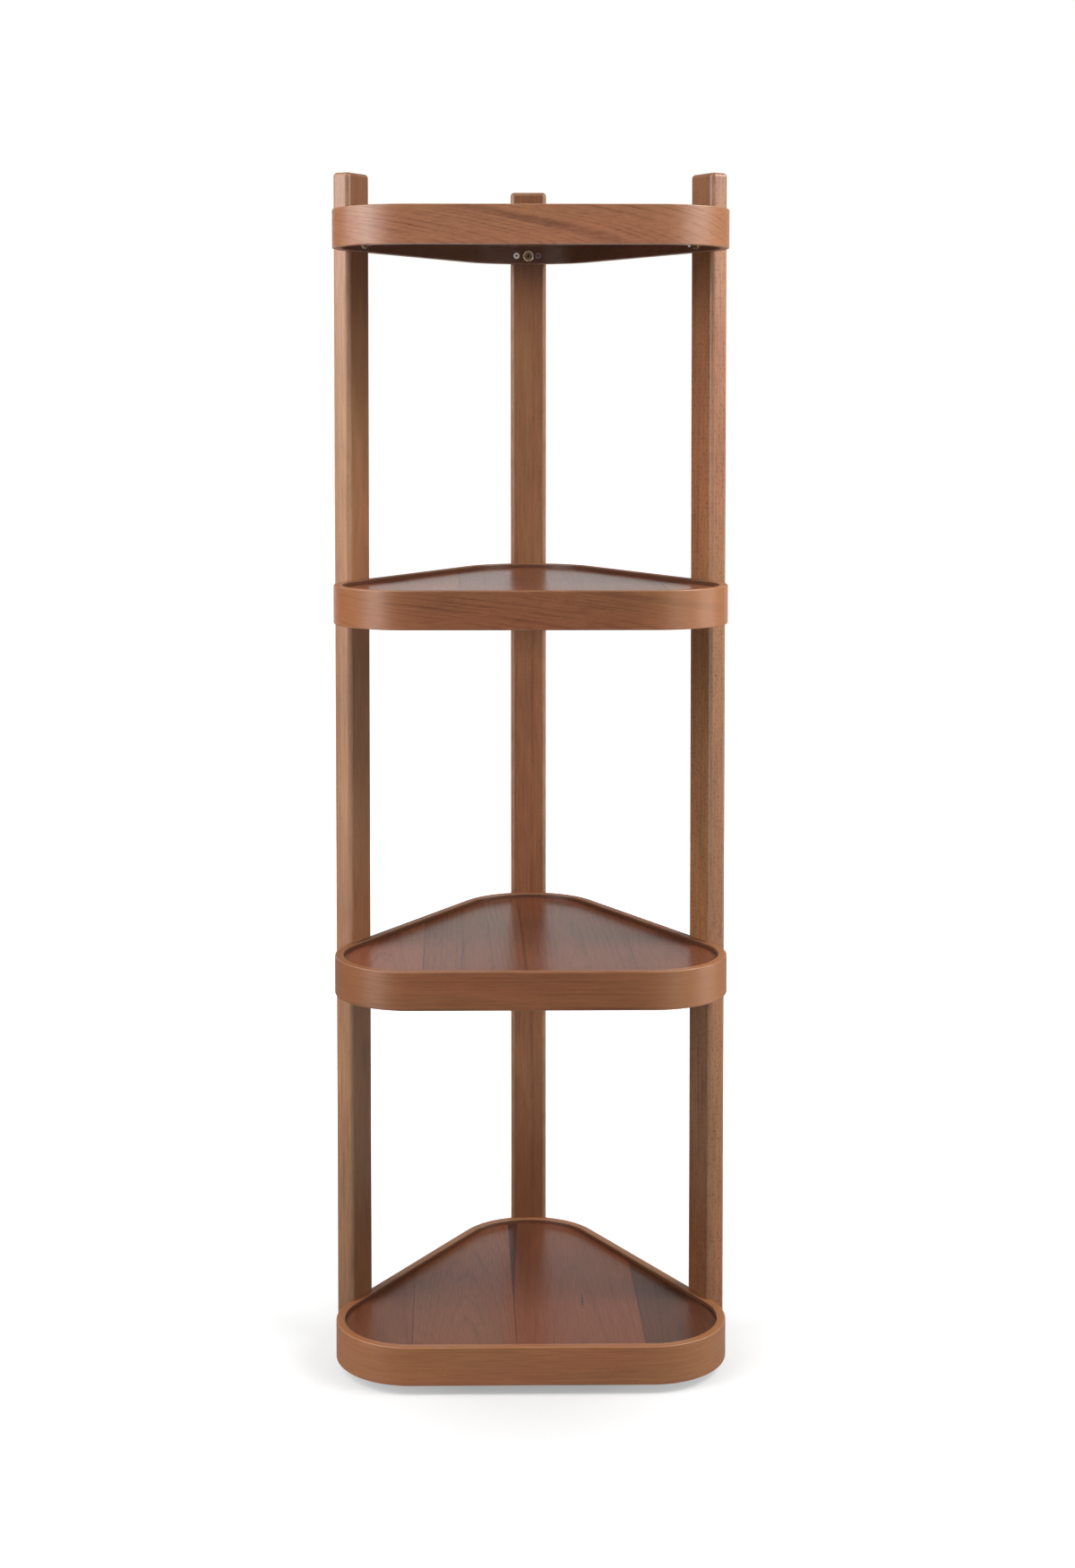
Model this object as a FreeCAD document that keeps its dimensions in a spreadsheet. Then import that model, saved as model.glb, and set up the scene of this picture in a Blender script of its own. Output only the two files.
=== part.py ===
import FreeCAD, Part
import math
import os
import re

import Sketcher

# Corner étagère: four rounded triangular trays with bent rims, let into three
# notched posts. Millimetres, +Z up, the straight front of the trays towards -Y.
# The origin is on the floor, at the middle of the whole object's plan.

# Driving dimensions
SIZES = {
    # trays
    "tray_width": 450,
    "corner_radius": 90,
    "rim_height": 44,
    "rim_thickness": 10,
    "rim_edge_bevel": 1.2,
    "tray_pitch": 425,
    "panel_drop": 5,
    "panel_thickness": 18,
    "groove_depth": 3,
    "stave_slant": 1.5,
    # posts
    "post_width": 45,
    "post_thickness": 23,
    "post_edge_round": 5.5,
    "post_top_round": 4.5,
    "post_foot_bevel": 1,
    "post_rise": 47,
    "post_foot": 8,
    "notch_depth": 4,
    # fasteners
    "bolt_diameter": 6,
    "bolt_length": 22,
    "bolt_head_diameter": 14,
    "bolt_head_height": 2.2,
    "hex_key": 4,
    "hex_key_depth": 2.6,
    "insert_diameter": 10,
    "insert_length": 13,
    # glides under the posts
    "glide_diameter": 18,
    "glide_thickness": 3,
    "glide_pin_diameter": 3,
    "glide_pin_length": 12,
    # clearances
    "fit_clearance": 0.1,
    "bolt_clearance": 0.3,
}

# Where the panel staves meet, from the tray's middle along its front edge
SEAMS = {
    "bottom": {"bottom_seam_one": -134, "bottom_seam_two": -16, "bottom_seam_three": 130},
    "lower": {"lower_seam_one": -121, "lower_seam_two": -4, "lower_seam_three": 120},
    "upper": {"upper_seam_one": -79, "upper_seam_two": 50, "upper_seam_three": 158},
    "top": {"top_seam_one": -142, "top_seam_two": -30, "top_seam_three": 96},
}
TRAYS = list(SEAMS)
SIDES = ("left", "right", "back")

doc = FreeCAD.newDocument("etagere")
sheet = doc.addObject("Spreadsheet::Sheet", "Sizes")
cells = dict(SIZES)
for seams in SEAMS.values():
    cells.update(seams)
for row, (alias, size) in enumerate(cells.items(), start=1):
    sheet.set(f"A{row}", alias.replace("_", " "))
    sheet.set(f"B{row}", str(size))
    sheet.setAlias(f"B{row}", alias)
doc.recompute()


# Formulas: a size's name in a formula reads its cell in the sheet
def formula(text):
    return re.sub(r"\b[a-z]+(?:_[a-z]+)+\b", lambda name: "Sizes." + name.group(0), str(text))


def number(text):
    return float(sheet.evalExpression(formula(text)))


def bind(thing, prop, text):
    thing.setExpression(prop, formula(text))


# A tray's own frame has its origin midway between the arcs of the two front
# corners, at the rim's lower edge. The three corner arcs stand on an
# equilateral triangle.
ARC_SPACING = "(tray_width - 2 * corner_radius)"
BACK_ARC = f"{ARC_SPACING} * sin(60)"
TRAY_DEPTH = f"(2 * corner_radius + {BACK_ARC})"
PLAN_DEPTH = f"({TRAY_DEPTH} - notch_depth + post_thickness)"
TRAY_Y = f"(corner_radius - {PLAN_DEPTH} / 2)"
INNER_RADIUS = "(corner_radius - rim_thickness)"
PANEL_BASE = "(rim_height - panel_drop - panel_thickness)"
# Bolts stand midway up the hollow under the panel
BOLT_LEVEL = f"({PANEL_BASE} / 2)"
# How far a cutter runs on into the air, past what it cuts
OVERCUT = 2


def tray_level(level):
    return f"(glide_thickness + post_foot + {level} * tray_pitch)"


# Sketch helpers
def plane(body, role):
    return next(item for item in body.Origin.OriginFeatures if item.Role == role)


def new_body(label):
    body = doc.addObject("PartDesign::Body", label)
    body.Label = label
    return body


def new_sketch(body, name, role="XY_Plane", at=("0", "0", "0"), turn="0"):
    """Lay a sketch on one of the body's planes, moved and turned within that plane's frame."""
    sketch = body.newObject("Sketcher::SketchObject", name)
    sketch.AttachmentSupport = [(plane(body, role), "")]
    sketch.MapMode = "FlatFace"
    for axis, text in zip("xyz", at):
        bind(sketch, f"AttachmentOffset.Base.{axis}", text)
    bind(sketch, "AttachmentOffset.Rotation.Angle", turn)
    return sketch


def measure(sketch, kind, ends, text):
    """Add one driving measure that follows a formula."""
    index = sketch.addConstraint(Sketcher.Constraint(kind, *ends, number(text)))
    bind(sketch, f"Constraints[{index}]", text)


def pin(sketch, line, end, x, y):
    """Hold a point at its distances from the sketch's origin."""
    for kind, text, axis in (("DistanceX", x, -2), ("DistanceY", y, -1)):
        distance = number(text)
        if abs(distance) < 1e-9:
            sketch.addConstraint(Sketcher.Constraint("PointOnObject", line, end, axis))
        elif distance > 0:
            measure(sketch, kind, (-1, 1, line, end), text)
        else:
            measure(sketch, kind, (line, end, -1, 1), f"-({text})")


def draw_outline(sketch, corners):
    """Draw a closed outline of straight lines through corners given as pairs of formulas."""
    spots = [FreeCAD.Vector(number(x), number(y), 0) for x, y in corners]
    first = sketch.GeometryCount
    count = len(spots)
    for step in range(count):
        sketch.addGeometry(Part.LineSegment(spots[step], spots[(step + 1) % count]), False)
    for step in range(count):
        joint = (first + step, 2, first + (step + 1) % count, 1)
        sketch.addConstraint(Sketcher.Constraint("Coincident", *joint))
    for step, (x, y) in enumerate(corners):
        pin(sketch, first + step, 1, x, y)


def draw_circle(sketch, x, y, radius):
    centre = FreeCAD.Vector(number(x), number(y), 0)
    circle = sketch.addGeometry(Part.Circle(centre, FreeCAD.Vector(0, 0, 1), number(radius)), False)
    pin(sketch, circle, 3, x, y)
    measure(sketch, "Radius", (circle,), radius)


def draw_tray_outline(sketch, radius):
    """Draw the rounded triangle: three equal arcs joined by tangent sides."""
    half = number(f"{ARC_SPACING} / 2")
    arcs = []
    for x, y, start in ((half, 0, -90), (0, number(BACK_ARC), 30), (-half, 0, 150)):
        circle = Part.Circle(FreeCAD.Vector(x, y, 0), FreeCAD.Vector(0, 0, 1), number(radius))
        arcs.append(Part.ArcOfCircle(circle, math.radians(start), math.radians(start + 120)))
    first = sketch.GeometryCount
    for before, arc in zip((arcs[2], arcs[0], arcs[1]), arcs):
        sketch.addGeometry(Part.LineSegment(before.EndPoint, arc.StartPoint), False)
        sketch.addGeometry(arc, False)
    for step in range(6):
        joint = (first + step, 2, first + (step + 1) % 6, 1)
        sketch.addConstraint(Sketcher.Constraint("Tangent", *joint))
    right, back, left = first + 1, first + 3, first + 5
    measure(sketch, "Radius", (right,), radius)
    sketch.addConstraint(Sketcher.Constraint("Equal", right, back))
    sketch.addConstraint(Sketcher.Constraint("Equal", right, left))
    sketch.addConstraint(Sketcher.Constraint("PointOnObject", right, 3, -1))
    sketch.addConstraint(Sketcher.Constraint("PointOnObject", back, 3, -2))
    sketch.addConstraint(Sketcher.Constraint("Symmetric", left, 3, right, 3, -1, 1))
    measure(sketch, "DistanceX", (left, 3, right, 3), ARC_SPACING)
    measure(sketch, "Distance", (left, 3, back, 3), ARC_SPACING)


# Feature helpers
def pad(body, sketch, length):
    feature = body.newObject("PartDesign::Pad", sketch.Name + "_pad")
    feature.Profile = sketch
    bind(feature, "Length", length)
    sketch.Visibility = False
    return feature


def cut_up(body, sketch, length):
    """Pocket from the sketch upwards, along its normal."""
    feature = body.newObject("PartDesign::Pocket", sketch.Name + "_cut")
    feature.Profile = sketch
    feature.Reversed = True
    bind(feature, "Length", length)
    return feature


def spin(body, sketch, kind):
    """Turn a half profile about its sketch's vertical axis, as a solid or as a bore."""
    feature = body.newObject(f"PartDesign::{kind}", sketch.Name + "_turned")
    feature.Profile = sketch
    feature.ReferenceAxis = (sketch, ["V_Axis"])
    feature.Angle = 360
    return feature


def dress(body, kind, base, wanted, prop, size):
    """Round or bevel the base feature's edges for which wanted(edge) holds."""
    doc.recompute()
    names = [f"Edge{i}" for i, edge in enumerate(base.Shape.Edges, start=1) if wanted(edge)]
    feature = body.newObject(f"PartDesign::{kind}", base.Name + "_" + kind.lower())
    feature.Base = (base, names)
    bind(feature, prop, size)
    return feature


def lies_at(edge, heights):
    box = edge.BoundBox
    return any(abs(box.ZMin - z) < 1e-4 and abs(box.ZMax - z) < 1e-4 for z in heights)


def upright(edge):
    return edge.BoundBox.XLength + edge.BoundBox.YLength < 1e-4


def place(thing, x="0", y="0", z="0", turn="0"):
    thing.Placement = FreeCAD.Placement(FreeCAD.Vector(), FreeCAD.Rotation(FreeCAD.Vector(0, 0, 1), 0))
    for axis, text in zip("xyz", (x, y, z)):
        bind(thing, f"Placement.Base.{axis}", text)
    bind(thing, "Placement.Rotation.Angle", turn)


# Where a post meets the tray, at a distance outwards from the corner arcs'
# centre line, in the tray's frame: x, y and the turn that aims a sketch's
# vertical axis out of the tray. On the two straight sides the posts start where
# the front corner's arc ends, and the third stands behind the back corner.
def wall_place(side, reach):
    if side == "back":
        return "0", f"{BACK_ARC} + {reach}", "0"
    x = f"({ARC_SPACING} / 2 + {reach} * cos(30) - post_width / 2 * sin(30))"
    y = f"({reach} * sin(30) + post_width / 2 * cos(30))"
    return (f"-{x}", y, "60") if side == "left" else (x, y, "-60")


BOLT_BORE = "(bolt_diameter / 2 + bolt_clearance)"
INSERT_BORE = "(insert_diameter / 2 + fit_clearance)"


def bore_outline(radius, start, end):
    return [("0", start), (radius, start), (radius, end), ("0", end)]


# Rims: one strip bent round the panel, grooved inside for the panel's edge
def make_rim(level, tray):
    rim = new_body(f"rim_{tray}")
    outline = new_sketch(rim, f"rim_{tray}_outline")
    draw_tray_outline(outline, "corner_radius")
    draw_tray_outline(outline, INNER_RADIUS)
    strip = pad(rim, outline, "rim_height")
    edges = (0, number("rim_height"))
    dress(rim, "Chamfer", strip, lambda edge: lies_at(edge, edges), "Size", "rim_edge_bevel")
    groove = new_sketch(rim, f"rim_{tray}_groove", at=("0", "0", f"{PANEL_BASE} - fit_clearance"))
    draw_tray_outline(groove, f"{INNER_RADIUS} + groove_depth")
    cut_up(rim, groove, "panel_thickness + 2 * fit_clearance")
    for side in SIDES:
        x, y, turn = wall_place(side, INNER_RADIUS)
        hole = new_sketch(rim, f"rim_{tray}_bolt_{side}", at=(x, y, BOLT_LEVEL), turn=turn)
        draw_outline(hole, bore_outline(BOLT_BORE, f"-{OVERCUT}", f"rim_thickness + {OVERCUT}"))
        spin(rim, hole, "Groove")
    place(rim, y=TRAY_Y, z=tray_level(level))
    return rim


# Panels: four edge-jointed staves, whose outer edges seat in the rim's groove.
# The board is laid up at a slight slant to the front edge. Each stave is the
# stretch of board inside a slab that runs from one seam to the next.
def make_staves(level, tray, board):
    seams = [f"-{TRAY_DEPTH}", *SEAMS[tray], TRAY_DEPTH]
    staves = []
    for count, (near, far) in enumerate(zip(seams, seams[1:]), start=1):
        slab = doc.addObject("Part::Box", f"slab_{tray}_{count}")
        bind(slab, "Length", f"({far} - {near}) * cos(stave_slant) - fit_clearance")
        bind(slab, "Width", f"2 * {TRAY_DEPTH}")
        bind(slab, "Height", f"panel_thickness + 2 * {OVERCUT}")
        before = f"({TRAY_DEPTH} / 2)"
        place(
            slab,
            x=f"{near} + {before} * sin(stave_slant) + fit_clearance / 2",
            y=f"-corner_radius - {before} * cos(stave_slant)",
            z=f"{PANEL_BASE} - {OVERCUT}",
            turn="stave_slant",
        )
        stave = doc.addObject("Part::Common", f"stave_{tray}_{count}")
        stave.Label = f"stave_{tray}_{count}"
        stave.Base = board
        stave.Tool = slab
        place(stave, y=TRAY_Y, z=tray_level(level))
        staves.append(stave)
    return staves


def make_board():
    board = new_body("panel_board")
    outline = new_sketch(board, "panel_outline")
    draw_tray_outline(outline, f"{INNER_RADIUS} + groove_depth - fit_clearance")
    pad(board, outline, "panel_thickness")
    place(board, z=PANEL_BASE)
    return board


# Posts: rounded bars with a notch for each rim, and bored for its insert.
# A post's frame has its origin on the floor, midway along its inner face, with
# the outer face towards +y.
def notch_outline(sketch, side):
    """The cut follows the rim's outer wall: straight on the sides, curved round the back corner."""
    if side == "back":
        draw_circle(sketch, "0", "notch_depth - corner_radius", "corner_radius + fit_clearance")
        return
    half, mouth = f"(post_width / 2 + {OVERCUT})", f"-{OVERCUT}"
    floor = "(notch_depth + fit_clearance)"
    draw_outline(sketch, [(f"-{half}", mouth), (half, mouth), (half, floor), (f"-{half}", floor)])


def make_post(side):
    post = new_body(f"post_{side}")
    section = new_sketch(post, f"post_{side}_section", at=("0", "0", "glide_thickness"))
    half, back = "(post_width / 2)", "post_thickness"
    draw_outline(section, [(f"-{half}", "0"), (half, "0"), (half, back), (f"-{half}", back)])
    length = f"(post_foot + {len(TRAYS) - 1} * tray_pitch + rim_height + post_rise)"
    bar = pad(post, section, length)
    rounded = dress(post, "Fillet", bar, upright, "Radius", "post_edge_round")
    top = number(f"glide_thickness + {length}")
    crowned = dress(post, "Fillet", rounded, lambda edge: lies_at(edge, (top,)), "Radius", "post_top_round")
    foot = number("glide_thickness")
    dress(post, "Chamfer", crowned, lambda edge: lies_at(edge, (foot,)), "Size", "post_foot_bevel")

    level = tray_level(0)
    notch = new_sketch(post, f"post_{side}_notch", at=("0", "0", f"{level} - fit_clearance"))
    notch_outline(notch, side)
    cuts = [cut_up(post, notch, "rim_height + 2 * fit_clearance")]
    bolt_z = f"{level} + {BOLT_LEVEL}"
    insert_end = "(notch_depth + fit_clearance + insert_length + fit_clearance)"
    bore = new_sketch(post, f"post_{side}_insert_bore", at=("0", "0", bolt_z))
    draw_outline(bore, bore_outline(INSERT_BORE, "0", insert_end))
    cuts.append(spin(post, bore, "Groove"))
    row = post.newObject("PartDesign::LinearPattern", f"post_{side}_tray_row")
    row.Originals = cuts
    row.Direction = (plane(post, "Z_Axis"), [""])
    bind(row, "Length", f"{len(TRAYS) - 1} * tray_pitch")
    row.Occurrences = len(TRAYS)
    post.Tip = row

    pin_hole = new_sketch(post, f"post_{side}_pin_hole", at=("0", "post_thickness / 2", "glide_thickness"))
    draw_circle(pin_hole, "0", "0", "glide_pin_diameter / 2 + fit_clearance")
    cut_up(post, pin_hole, "glide_pin_length + fit_clearance")
    x, y, turn = wall_place(side, "(corner_radius - notch_depth)")
    place(post, x=x, y=f"{TRAY_Y} + {y}", turn=turn)
    return post


# Fasteners: turned about the axis on which they are driven
def make_bolt(side):
    """Connector bolt with a thin flat head and a hexagon socket."""
    bolt = new_body(f"bolt_{side}")
    profile = new_sketch(bolt, f"bolt_{side}_profile")
    head, shank = "(bolt_head_diameter / 2)", "(bolt_diameter / 2)"
    draw_outline(
        profile,
        [
            ("0", "-bolt_head_height"),
            (head, "-bolt_head_height"),
            (head, "0"),
            (shank, "0"),
            (shank, "bolt_length"),
            ("0", "bolt_length"),
        ],
    )
    spin(bolt, profile, "Revolution")
    socket = new_sketch(bolt, f"bolt_{side}_socket", "XZ_Plane", at=("0", "0", "bolt_head_height"))
    corner, flat = "(hex_key / 2 / cos(30))", "(hex_key / 2)"
    draw_outline(
        socket,
        [
            (corner, "0"),
            (f"{corner} / 2", flat),
            (f"-{corner} / 2", flat),
            (f"-{corner}", "0"),
            (f"-{corner} / 2", f"-{flat}"),
            (f"{corner} / 2", f"-{flat}"),
        ],
    )
    pocket = bolt.newObject("PartDesign::Pocket", f"bolt_{side}_socket_cut")
    pocket.Profile = socket
    bind(pocket, "Length", "hex_key_depth")
    # On the curved wall the flat head bears on its two edges
    seat = INNER_RADIUS
    if side == "back":
        seat = f"sqrt({INNER_RADIUS} * {INNER_RADIUS} - {head} * {head})"
    x, y, turn = wall_place(side, seat)
    place(bolt, x=x, y=y, z=BOLT_LEVEL, turn=turn)
    return bolt


def make_insert(side):
    """Threaded bush, pressed into the post behind the rim."""
    insert = new_body(f"insert_{side}")
    profile = new_sketch(insert, f"insert_{side}_profile")
    inner = "(bolt_diameter / 2 + fit_clearance)"
    outer = "(insert_diameter / 2)"
    start = "(rim_thickness + fit_clearance)"
    end = f"({start} + insert_length)"
    draw_outline(profile, [(inner, start), (outer, start), (outer, end), (inner, end)])
    spin(insert, profile, "Revolution")
    x, y, turn = wall_place(side, INNER_RADIUS)
    place(insert, x=x, y=y, z=BOLT_LEVEL, turn=turn)
    return insert


def make_set(kind, pieces, level, tray):
    """Group one tray's like fasteners, still as separate solids, at that tray's level."""
    group = doc.addObject("Part::Compound", f"{kind}_{tray}")
    group.Label = f"{kind}_{tray}"
    group.Links = pieces
    place(group, y=TRAY_Y, z=tray_level(level))
    return group


# Glides: plastic discs under the posts, each on its own pin
def make_glide(side):
    glide = new_body(f"glide_{side}")
    disc = new_sketch(glide, f"glide_{side}_disc")
    draw_circle(disc, "0", "0", "glide_diameter / 2")
    pad(glide, disc, "glide_thickness")
    pin_section = new_sketch(glide, f"glide_{side}_pin", at=("0", "0", "glide_thickness"))
    draw_circle(pin_section, "0", "0", "glide_pin_diameter / 2")
    pad(glide, pin_section, "glide_pin_length")
    x, y, turn = wall_place(side, "(corner_radius - notch_depth + post_thickness / 2)")
    place(glide, x=x, y=f"{TRAY_Y} + {y}", turn=turn)
    return glide


nodes = [make_post(side) for side in SIDES]
nodes += [make_glide(side) for side in SIDES]
panel_board = make_board()
bolts = [make_bolt(side) for side in SIDES]
inserts = [make_insert(side) for side in SIDES]
for level, tray in enumerate(TRAYS):
    nodes.append(make_rim(level, tray))
    nodes += make_staves(level, tray, panel_board)
    nodes.append(make_set("bolts", bolts, level, tray))
    nodes.append(make_set("inserts", inserts, level, tray))
doc.recompute()

# Every object is sound before anything is written
for item in doc.Objects:
    if "Invalid" in item.State or "Error" in item.State:
        raise RuntimeError(f"{item.Label} did not build: {item.State}")
for node in nodes:
    if node.Shape.isNull() or not node.Shape.isValid() or not node.Shape.Solids:
        raise RuntimeError(f"{node.Label} is not a sound solid")

os.makedirs("parts", exist_ok=True)
for node in nodes:
    node.Shape.exportStep(f"parts/{node.Label}.step")
    print(node.Label, len(node.Shape.Solids), "solids,", round(node.Shape.Volume), "cubic mm")
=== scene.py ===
import math

import bmesh
import bpy
from mathutils import Matrix, Vector


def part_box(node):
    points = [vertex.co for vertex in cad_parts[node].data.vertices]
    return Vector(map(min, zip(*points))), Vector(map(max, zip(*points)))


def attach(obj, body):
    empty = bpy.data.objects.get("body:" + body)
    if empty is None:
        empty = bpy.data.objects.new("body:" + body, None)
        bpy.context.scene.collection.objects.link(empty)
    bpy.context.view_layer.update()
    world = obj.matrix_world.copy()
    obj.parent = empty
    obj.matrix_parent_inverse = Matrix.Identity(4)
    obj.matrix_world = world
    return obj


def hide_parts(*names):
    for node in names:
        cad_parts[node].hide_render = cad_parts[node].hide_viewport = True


# Corner etagere of walnut-stained beech: four rounded triangular trays bolted
# between three flat posts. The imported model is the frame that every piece
# follows, and its box is the size of the real thing.
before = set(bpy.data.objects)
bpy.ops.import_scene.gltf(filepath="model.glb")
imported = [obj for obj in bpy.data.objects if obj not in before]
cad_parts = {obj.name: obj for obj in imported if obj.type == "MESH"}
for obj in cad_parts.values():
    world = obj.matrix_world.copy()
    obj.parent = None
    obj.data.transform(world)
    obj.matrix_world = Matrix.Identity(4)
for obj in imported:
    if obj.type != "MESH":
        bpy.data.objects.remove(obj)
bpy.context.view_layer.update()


# Camera. It stands level with the space under the top tray, almost square to
# the front, tipped down a little. The lens is shifted as well, which keeps the
# posts nearly upright in the picture.
CAMERA_PLACE = (-0.0264, -2.7704, 1.124)
CAMERA_TIP = 2.706
CAMERA_TURN = 0.735
SENSOR_WIDTH = 36
LENS_LENGTH = 53.32
LENS_SHIFT = -0.18
bpy.ops.object.camera_add(
    location=CAMERA_PLACE,
    rotation=(math.radians(90 - CAMERA_TIP), 0, math.radians(-CAMERA_TURN)),
)
camera = bpy.context.object
camera.data.sensor_width = SENSOR_WIDTH
camera.data.lens = LENS_LENGTH
camera.data.shift_y = LENS_SHIFT
bpy.context.scene.camera = camera


# Studio. The white floor and background are bright to the camera alone, and the
# light on the object comes from softboxes.
def new_finish(name):
    """A new material, with its shader nodes and its surface."""
    finish = bpy.data.materials.new(name)
    finish.use_nodes = True
    return finish, finish.node_tree, finish.node_tree.nodes["Principled BSDF"]


def add_node(tree, kind, inputs, **settings):
    """Add a shader node, and set each named input or link it to the socket given for it."""
    node = tree.nodes.new("ShaderNode" + kind)
    for name, value in settings.items():
        setattr(node, name, value)
    for name, value in inputs.items():
        if isinstance(value, bpy.types.NodeSocket):
            tree.links.new(value, node.inputs[name])
        else:
            node.inputs[name].default_value = value
    return node


def reckon(tree, operation, *values, **settings):
    """Work one number out of others."""
    inputs = dict(enumerate(values))
    return add_node(tree, "Math", inputs, operation=operation, **settings).outputs["Value"]


def rescale(tree, value, start, end, low=0, high=1, **settings):
    """Turn a value that runs from start to end into one that runs from low to high."""
    limits = {"From Min": start, "From Max": end, "To Min": low, "To Max": high}
    return add_node(tree, "MapRange", {"Value": value, **limits}, **settings).outputs["Result"]


def blend(tree, factor, *colours, **settings):
    """Mix two colours, each given as a socket or as its red, green and blue."""
    inputs = {"Factor": factor}
    for side, colour in zip("AB", colours):
        inputs[side] = colour if isinstance(colour, bpy.types.NodeSocket) else (*colour, 1)
    return add_node(tree, "Mix", inputs, data_type="RGBA", **settings).outputs["Result"]


def own_place(tree):
    """Where a point of a piece lies, in metres."""
    return add_node(tree, "TexCoord", {}).outputs["Object"]


FLOOR_SIZE = 40
FLOOR_BOUNCE = (0.35, 0.35, 0.35)
FLOOR_SEEN = (0.44, 0.44, 0.44)
# The floor's own light is low under the object, where its shadow is, and full further out
SHADOW_MIDDLE = (0, -0.16, 0)
SHADOW_REACH = (0.08, 0.8)
FLOOR_GLOW = (0.34, 1.15)
bpy.ops.mesh.primitive_plane_add(size=FLOOR_SIZE)
floor = bpy.context.object
floor.name = "studio_floor"
floor_paint, tree, paint = new_finish("floor_paint")
seen = add_node(tree, "LightPath", {}).outputs["Is Camera Ray"]
away = add_node(tree, "VectorMath", {0: own_place(tree), 1: SHADOW_MIDDLE}, operation="DISTANCE")
glow = reckon(tree, "MULTIPLY", rescale(tree, away.outputs["Value"], *SHADOW_REACH, *FLOOR_GLOW), seen)
paint.inputs["Roughness"].default_value = 0.6
paint.inputs["Emission Color"].default_value = (1, 1, 1, 1)
tree.links.new(blend(tree, seen, FLOOR_BOUNCE, FLOOR_SEEN), paint.inputs["Base Color"])
tree.links.new(glow, paint.inputs["Emission Strength"])
floor.data.materials.append(floor_paint)

# The low far wall shows in the lacquer of the trays, and the rest of the room is nearly dark
WALL_TINT = (1, 0.98, 0.955, 1)
WALL_HEIGHTS = (0.1, 0.25)
WALL_LEVELS = (1.15, 0.10)
WALL_EDGES = (0.8, 0.97)
ROOM_LEVEL = 0.03
BACKDROP_SEEN = 1.05
world = bpy.data.worlds.new("studio_white")
world.use_nodes = True
tree = world.node_tree
seen = add_node(tree, "LightPath", {}).outputs["Is Camera Ray"]
direction = add_node(tree, "TexCoord", {}).outputs["Generated"]
_, back, up = add_node(tree, "SeparateXYZ", {"Vector": direction}).outputs
low_wall = rescale(tree, up, *WALL_HEIGHTS, *WALL_LEVELS)
wall = reckon(tree, "MULTIPLY", low_wall, rescale(tree, back, *WALL_EDGES))
room = reckon(tree, "MAXIMUM", wall, ROOM_LEVEL)
level = add_node(tree, "Mix", {"Factor": seen, "A": room, "B": BACKDROP_SEEN})
backdrop = tree.nodes["Background"]
backdrop.inputs["Color"].default_value = WALL_TINT
tree.links.new(level.outputs["Result"], backdrop.inputs["Strength"])
bpy.context.scene.world = world
bpy.context.scene.view_settings.view_transform = "Standard"


def hang_softbox(name, place, aim, width, height, power):
    bpy.ops.object.light_add(type="AREA", location=place)
    softbox = bpy.context.object
    softbox.name = name
    softbox.data.shape = "RECTANGLE"
    softbox.data.size, softbox.data.size_y = width, height
    softbox.data.energy = power
    softbox.rotation_euler = (Vector(aim) - Vector(place)).to_track_quat("-Z", "Y").to_euler()
    softbox.visible_camera = False


# Name, place, aim, width, height and power
for softbox in (
    ("left_middle", (-1.905, -1.1, 1.62), (0, 0, 1.1), 0.9, 0.9, 16.0),
    ("left_low", (-1.6, -1.2, 0.5), (0, 0, 0.5), 0.9, 0.9, 9.5),
    ("left_side", (-1.75, -0.35, 1.85), (-0.1, 0, 1.6), 1.2, 1.0, 20.5),
    ("left_overhead", (-1.3, -1.1, 2.9), (0, 0, 1.0), 1.2, 1.2, 26.3),
    ("front_left", (-2.2, -2.2, 1.4), (0, 0, 0.9), 1.2, 1.6, 12.0),
    ("right_strip", (1.74, -0.45, 1.95), (0.1, 0, 1.35), 0.6, 1.0, 14.5),
    ("right_side", (1.75, -0.35, 2.3), (0, 0, 1.2), 1.0, 0.8, 19.0),
    ("right_middle", (1.75, -1.15, 1.4), (0.2, 0, 1.25), 0.5, 0.5, 5.0),
    ("right_low", (1.85, -0.2, 0.5), (0.1, 0, 0.6), 1.0, 1.0, 8.0),
    ("right_front_low", (1.3, -1.7, 0.5), (0, 0, 0.4), 0.9, 0.9, 5.0),
    ("front_sheet", (0, -2.95, 1.08), (0, 0, 1.25), 0.9, 0.3, 1.5),
    ("right_high", (1.7, -1.15, 2.6), (0, 0, 1.0), 0.9, 0.9, 26.0),
    ("right_far", (2.167, -0.382, 2.4), (0, 0, 1.125), 0.9, 0.9, 8.0),
    ("sheet_behind", (0, 3.0, 0.45), (0, 0, 0.5), 5.0, 0.9, 14.0),
):
    hang_softbox(*softbox)


# Rims. Each tray has one long beech strip, bent round the panel, with a groove
# inside that takes the panel's edge. Its long edges are softly rounded, and its
# grain runs round the bends with it.
TRAYS = ("bottom", "lower", "upper", "top")
CORNER_RADIUS = 0.090
RIM_THICKNESS = 0.010
RIM_EDGE_ROUND = 0.0012
BEND_STEPS = 40
SIDE_STEPS = 24
PANEL_DROP = 0.005
PANEL_THICKNESS = 0.018
GROOVE_DEPTH = 0.003
# The play of a panel in its groove, and of a rim in a post's notch
FIT = 0.0001
SMOOTH_ANGLE = math.radians(40)
TINY = 1e-6


def start_shaping(piece):
    bpy.ops.object.select_all(action="DESELECT")
    piece.select_set(True)
    bpy.context.view_layer.objects.active = piece
    bpy.ops.object.mode_set(mode="EDIT")


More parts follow.
